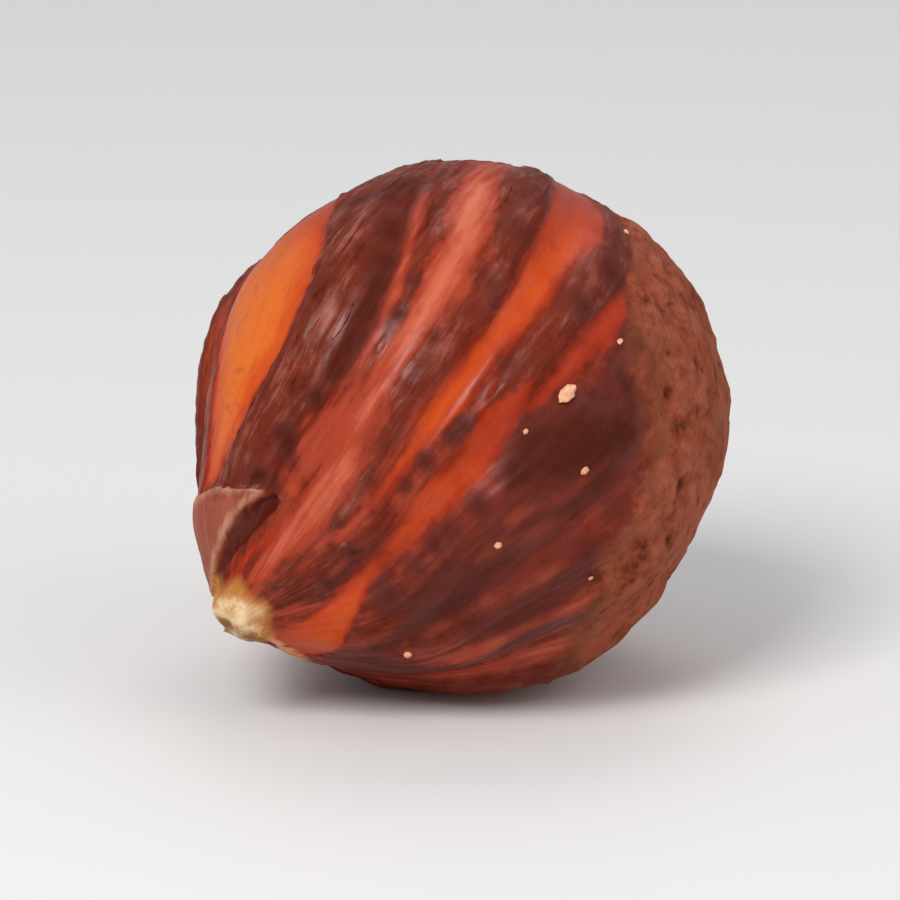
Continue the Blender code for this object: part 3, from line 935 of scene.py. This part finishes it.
    # Sheen and fine relief
    bare = step(0.0, 0.2, field["bright"]) * (1 - strip)
    rough = 0.43 - 0.10 * bare + 0.28 * cork + 0.05 * strip + 0.12 * dark_and_shade_mask + 0.2 * (mottle - 0.5)
    fine = 0.30 * thread + 0.25 * fibre + 0.45 * mottle * (0.5 + 0.9 * cork + 0.5 * strip)
    fine = fine * (1 - 0.5 * bare) + 0.10 * speck + 0.25 * blot
    satin = (1 - cork) * (1 - 0.9 * dark_and_shade_mask) * step(0.30, 0.75, 0.5 * fibre + 0.5 * blot)
    return finish.shade({
        "Base Color": colour, "Roughness": rough, "Normal": finish.bump(fine, SKIN_BUMP, 0.85),
        "Coat Weight": satin * 0.55, "Coat Roughness": 0.30, "Specular IOR Level": 0.06,
    })


def crumb_finish(colours):
    """Mealy crumbs of kernel."""
    finish = Finish("hazelnut_crumb")
    grains = finish.noise(finish.place, 9000.0, 4.0, 0.65)
    patches = finish.noise(finish.place, 3000.0, 2.0, 0.5)
    colour = finish.ramp(0.5 * grains + 0.5 * patches, (
        (0.28, colours.golden), (0.46, colours.crumb), (0.72, colours.cream)))
    return finish.shade({
        "Base Color": colour, "Roughness": 0.6 + 0.3 * grains,
        "Normal": finish.bump(grains, CRUMB_BUMP, 0.8),
    })


def floor_finish(colour):
    """Smooth pale floor with a slight variation in its sheen."""
    finish = Finish("pale_floor")
    cloud = finish.noise(finish.place, 14.0, 3.0, 0.5)
    duller = [0.96 * part for part in colour]
    return finish.shade({
        "Base Color": finish.mix(cloud * 0.10, colour, duller), "Roughness": 0.5 + 0.1 * cloud,
        "Specular IOR Level": 0.25,
    })


def dress(piece, material):
    """Give a finished piece its material, and say what it rides on."""
    piece.data.materials.clear()
    piece.data.materials.append(material)
    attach(piece, "root")


class HAZELNUT_OT_skin(bpy.types.Operator):
    """Make the kernel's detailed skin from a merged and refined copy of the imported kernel"""

    bl_idname = "hazelnut.skin"
    bl_label = "Skin"

    def execute(self, context):
        heights = context.scene.hazelnut_relief
        piece = bpy.data.objects.new("kernel_skin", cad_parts["kernel"].data.copy())
        piece.data.name = "kernel_skin"
        context.scene.collection.objects.link(piece)
        only(piece)
        edit(
            lambda: bpy.ops.mesh.remove_doubles(threshold=0.000001),
            lambda: bpy.ops.mesh.tris_convert_to_quads(face_threshold=math.pi, shape_threshold=math.pi),
            lambda: bpy.ops.mesh.normals_make_consistent(inside=False),
        )
        apply_modifier(piece, "SUBSURF", levels=heights.refine, render_levels=heights.refine)
        self.add_relief(piece.data, heights)
        bpy.ops.object.shade_smooth()
        dress(piece, skin_finish(context.scene.hazelnut_colours))
        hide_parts("kernel")
        return {"FINISHED"}

    def add_relief(self, mesh, heights):
        """Move the skin in and out, and keep on it what its material reads."""
        points = coordinates(mesh)
        places = Places(points)
        fields = skin_fields(places)
        height = skin_relief(places, fields, heights)
        height = height * smooth_step(0.0, FLAT_SPOT_FADE, places.points[:, 2])
        points = points + places.unit * (height * MM)[:, None]
        points[:, 2] = np.maximum(points[:, 2], 0.0)
        mesh.vertices.foreach_set("co", points.ravel())
        mesh.update()
        fields["relief"] = height / RELIEF_UNIT
        for name in SHADED_BY:
            keep_field(mesh, name, fields[name])
        keep_grain(mesh, places)


def lay_sheet(name, columns, rows, shape):
    """A thin sheet: shape gives the place of each corner of its grid, which runs from -1 to 1 both ways."""
    bpy.ops.object.select_all(action="DESELECT")
    bpy.ops.mesh.primitive_grid_add(x_subdivisions=columns, y_subdivisions=rows, size=2.0)
    sheet = bpy.context.object
    sheet.name = name
    for vertex in sheet.data.vertices:
        vertex.co = shape(vertex.co.x, vertex.co.y)
    return sheet


def flake(surface, along, line, length, width, turn, lift, shift):
    """One loose flake: held at one end, with its free end lifted off the skin."""
    middle, out, forward, side = surface.stand(along, line)
    turned = forward * math.cos(math.radians(turn)) + side * math.sin(math.radians(turn))
    beside = out.cross(turned).normalized()

    def shape(x, y):
        narrow = (1 - abs(x) ** 1.7) * (1 - 0.2 * x) + 0.05
        ragged = 1 + 0.28 * noise.noise((x * 2.3 + shift, y * 2.0, shift))
        across = y * narrow * ragged * width / 2 * MM
        spot = middle + turned * (x * length / 2 * MM) + beside * across
        place, normal = surface.beside(spot)
        free = max(0.0, (x + 0.35) / 1.35)
        curl = lift * free**2.2
        buckle = FLAKE_BUCKLE * noise.noise((x * 1.6, y * 1.4 + shift, 3.0))
        return place + normal * (FLAKE_THICKNESS * 0.3 + curl + buckle * free) * MM

    sheet = lay_sheet("flake", 10, 5, shape)
    apply_modifier(sheet, "SOLIDIFY", thickness=FLAKE_THICKNESS * MM, offset=0.0)
    return sheet


class HAZELNUT_OT_flakes(bpy.types.Operator):
    """Lay loose papery flakes along the edges of the dark strips and of the cork"""

    bl_idname = "hazelnut.flakes"
    bl_label = "Flakes"

    def execute(self, context):
        surface = Surface(bpy.data.objects["kernel_skin"])
        draw = random.Random(FLAKE_SEED)
        rows = list(SEEN_FLAKES)
        for _ in range(HIDDEN_FLAKES):
            rows.append((
                draw.uniform(*HIDDEN_FLAKE_ALONG), draw.uniform(*HIDDEN_FLAKE_LINE),
                draw.uniform(*HIDDEN_FLAKE_LENGTH), draw.uniform(*HIDDEN_FLAKE_WIDTH),
                draw.gauss(0, HIDDEN_FLAKE_TURN), draw.uniform(*HIDDEN_FLAKE_LIFT),
            ))
        sheets = []
        for number, row in enumerate(rows):
            place, _ = surface.at(row[0], row[1])
            if place.z > FLAKE_CLEARANCE * MM:
                sheets.append(flake(surface, *row, number * 1.7))
        piece = join(sheets, "skin_flakes")
        bpy.ops.object.shade_smooth()
        surface.lend_fields(piece)
        dress(piece, bpy.data.materials["hazelnut_skin_detail"])
        return {"FINISHED"}


class HAZELNUT_OT_crumbs(bpy.types.Operator):
    """Set mealy crumbs on the skin"""

    bl_idname = "hazelnut.crumbs"
    bl_label = "Crumbs"

    def execute(self, context):
        surface = Surface(bpy.data.objects["kernel_skin"])
        draw = random.Random(CRUMB_SEED)
        crumbs = [self.crumb(surface, *row, draw.uniform(0, 50)) for row in CRUMBS]
        piece = join(crumbs, "crumbs")
        bpy.ops.object.shade_smooth()
        dress(piece, crumb_finish(context.scene.hazelnut_colours))
        return {"FINISHED"}

    def crumb(self, surface, along, line, width, length, shift):
        """One crumb, flattened against the skin and set a little into it."""
        middle, out, forward, side = surface.stand(along, line)
        bpy.ops.object.select_all(action="DESELECT")
        bpy.ops.mesh.primitive_ico_sphere_add(subdivisions=4, radius=1.0)
        crumb = bpy.context.object
        for vertex in crumb.data.vertices:
            rough = 1 + 0.34 * noise.noise(vertex.co * 1.3 + Vector((shift, 0, 0)))
            rough += 0.14 * noise.noise(vertex.co * 3.1 + Vector((0, shift, 0)))
            spot = vertex.co * rough
            vertex.co = middle + (forward * spot.x * length / 2 + side * spot.y * width / 2
                                  + out * (spot.z * 0.34 + 0.16) * width) * MM
        return crumb


def facing_nut(azimuth, elevation, distance):
    """Where something that faces the nut stands, and how it is turned."""
    level = math.cos(elevation)
    back = Vector((math.sin(azimuth) * level, -math.cos(azimuth) * level, math.sin(elevation)))
    return {"location": VIEW_TARGET + back * distance, "rotation": back.to_track_quat("Z", "Y").to_euler()}


class HAZELNUT_OT_stage(bpy.types.Operator):
    """Set the pale floor, the soft lights and the camera"""

    bl_idname = "hazelnut.stage"
    bl_label = "Stage"

    def execute(self, context):
        stage = context.scene.hazelnut_stage
        self.floor(stage)
        self.lights(context.scene, stage)
        self.camera(context.scene, stage)
        context.scene.view_settings.view_transform = "Standard"
        return {"FINISHED"}

    def floor(self, stage):
        """A round pale floor just under the nut."""
        bpy.ops.object.select_all(action="DESELECT")
        bpy.ops.mesh.primitive_circle_add(vertices=96, radius=stage.floor_radius, fill_type="NGON",
                                          location=(0.0, 0.0, FLOOR_LEVEL))
        floor = bpy.context.object
        floor.name = "floor"
        bpy.ops.object.transform_apply(location=True)
        floor.data.materials.append(floor_finish(stage.floor_colour))

    def lights(self, scene, stage):
        """Light from all round, and three large soft lamps."""
        world = bpy.data.worlds.new("studio")
        world.use_nodes = True
        background = world.node_tree.nodes["Background"]
        background.inputs["Color"].default_value = (*stage.sky_colour, 1.0)
        background.inputs["Strength"].default_value = stage.sky_strength
        scene.world = world
        for name, (turn, elevation, size), power in (
            ("key", KEY_LAMP, stage.key_power),
            ("fill", FILL_LAMP, stage.fill_power),
            ("rim", RIM_LAMP, stage.rim_power),
        ):
            place = facing_nut(stage.azimuth + math.radians(turn), math.radians(elevation), LAMP_DISTANCE)
            bpy.ops.object.light_add(type="AREA", **place)
            lamp = bpy.context.object
            lamp.name = name
            lamp.data.size = size
            lamp.data.energy = power

    def camera(self, scene, stage):
        """A long lens at the viewing angle of the photograph."""
        bpy.ops.object.camera_add(**facing_nut(stage.azimuth, stage.elevation, stage.distance))
        camera = bpy.context.object
        camera.name = "camera"
        camera.data.lens = stage.lens
        camera.data.clip_start = 0.01
        camera.data.clip_end = 10.0
        scene.camera = camera


class HAZELNUT_PT_panel(bpy.types.Panel):
    """What makes up the hazelnut"""

    bl_idname = "HAZELNUT_PT_panel"
    bl_label = "Hazelnut"
    bl_space_type = "VIEW_3D"
    bl_region_type = "UI"
    bl_category = "Hazelnut"

    def draw(self, context):
        scene = context.scene
        for operator in OPERATORS:
            self.layout.operator(operator.bl_idname)
        for settings in (scene.hazelnut_relief, scene.hazelnut_colours, scene.hazelnut_stage):
            box = self.layout.box()
            for name in type(settings).__annotations__:
                box.prop(settings, name)


OPERATORS = (HAZELNUT_OT_stage, HAZELNUT_OT_skin, HAZELNUT_OT_flakes, HAZELNUT_OT_crumbs)
SETTINGS = (HazelnutColours, HazelnutRelief, HazelnutStage)


def register():
    """Make the settings, the operators and the panel known to Blender."""
    for part in SETTINGS + OPERATORS + (HAZELNUT_PT_panel,):
        bpy.utils.register_class(part)
    bpy.types.Scene.hazelnut_colours = PointerProperty(type=HazelnutColours)
    bpy.types.Scene.hazelnut_relief = PointerProperty(type=HazelnutRelief)
    bpy.types.Scene.hazelnut_stage = PointerProperty(type=HazelnutStage)


def unregister():
    """Take them back out."""
    del bpy.types.Scene.hazelnut_stage
    del bpy.types.Scene.hazelnut_relief
    del bpy.types.Scene.hazelnut_colours
    for part in reversed(SETTINGS + OPERATORS + (HAZELNUT_PT_panel,)):
        bpy.utils.unregister_class(part)


def main():
    """Build the hazelnut and its stage."""
    register()
    bpy.ops.hazelnut.stage()
    bpy.ops.hazelnut.skin()
    bpy.ops.hazelnut.flakes()
    bpy.ops.hazelnut.crumbs()


if __name__ == "__main__":
    main()
